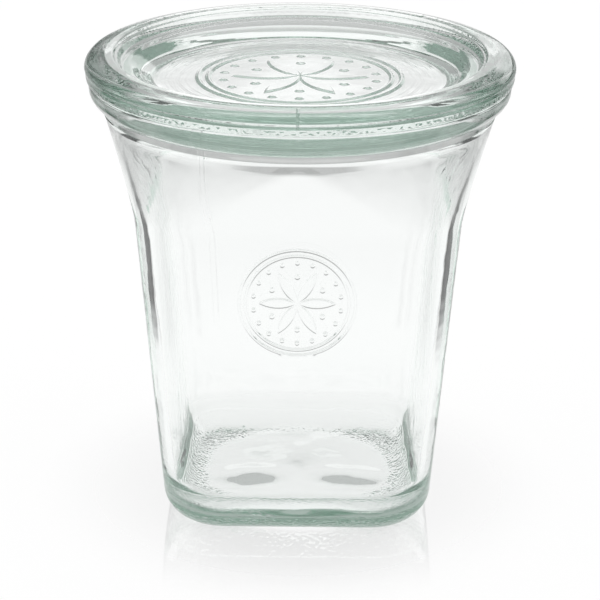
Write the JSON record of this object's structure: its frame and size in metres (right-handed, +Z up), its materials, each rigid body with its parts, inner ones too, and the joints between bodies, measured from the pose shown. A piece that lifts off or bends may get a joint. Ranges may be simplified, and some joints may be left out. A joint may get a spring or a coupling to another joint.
{
  "type": "glass jar",
  "caption": "Clear pressed-glass preserving jar: square tapered body that flares to a round mouth, with a flat round glass lid resting on the rim.",
  "frame": {"origin": "centre of the base, at the level that the jar stands on", "axes": "+Z up along the jar's axis, +Y away from the front wall, +X to the right"},
  "size_m": [0.1084, 0.1084, 0.1193],
  "materials": {
    "jar_glass": "clear pressed glass with a faint green tint, glossy",
    "lid_glass": "clear pressed glass with a faint green tint, glossy"
  },
  "bodies": {
    "root": {"jar": "jar_glass", "lid": "lid_glass"}
  },
  "joints": []
}
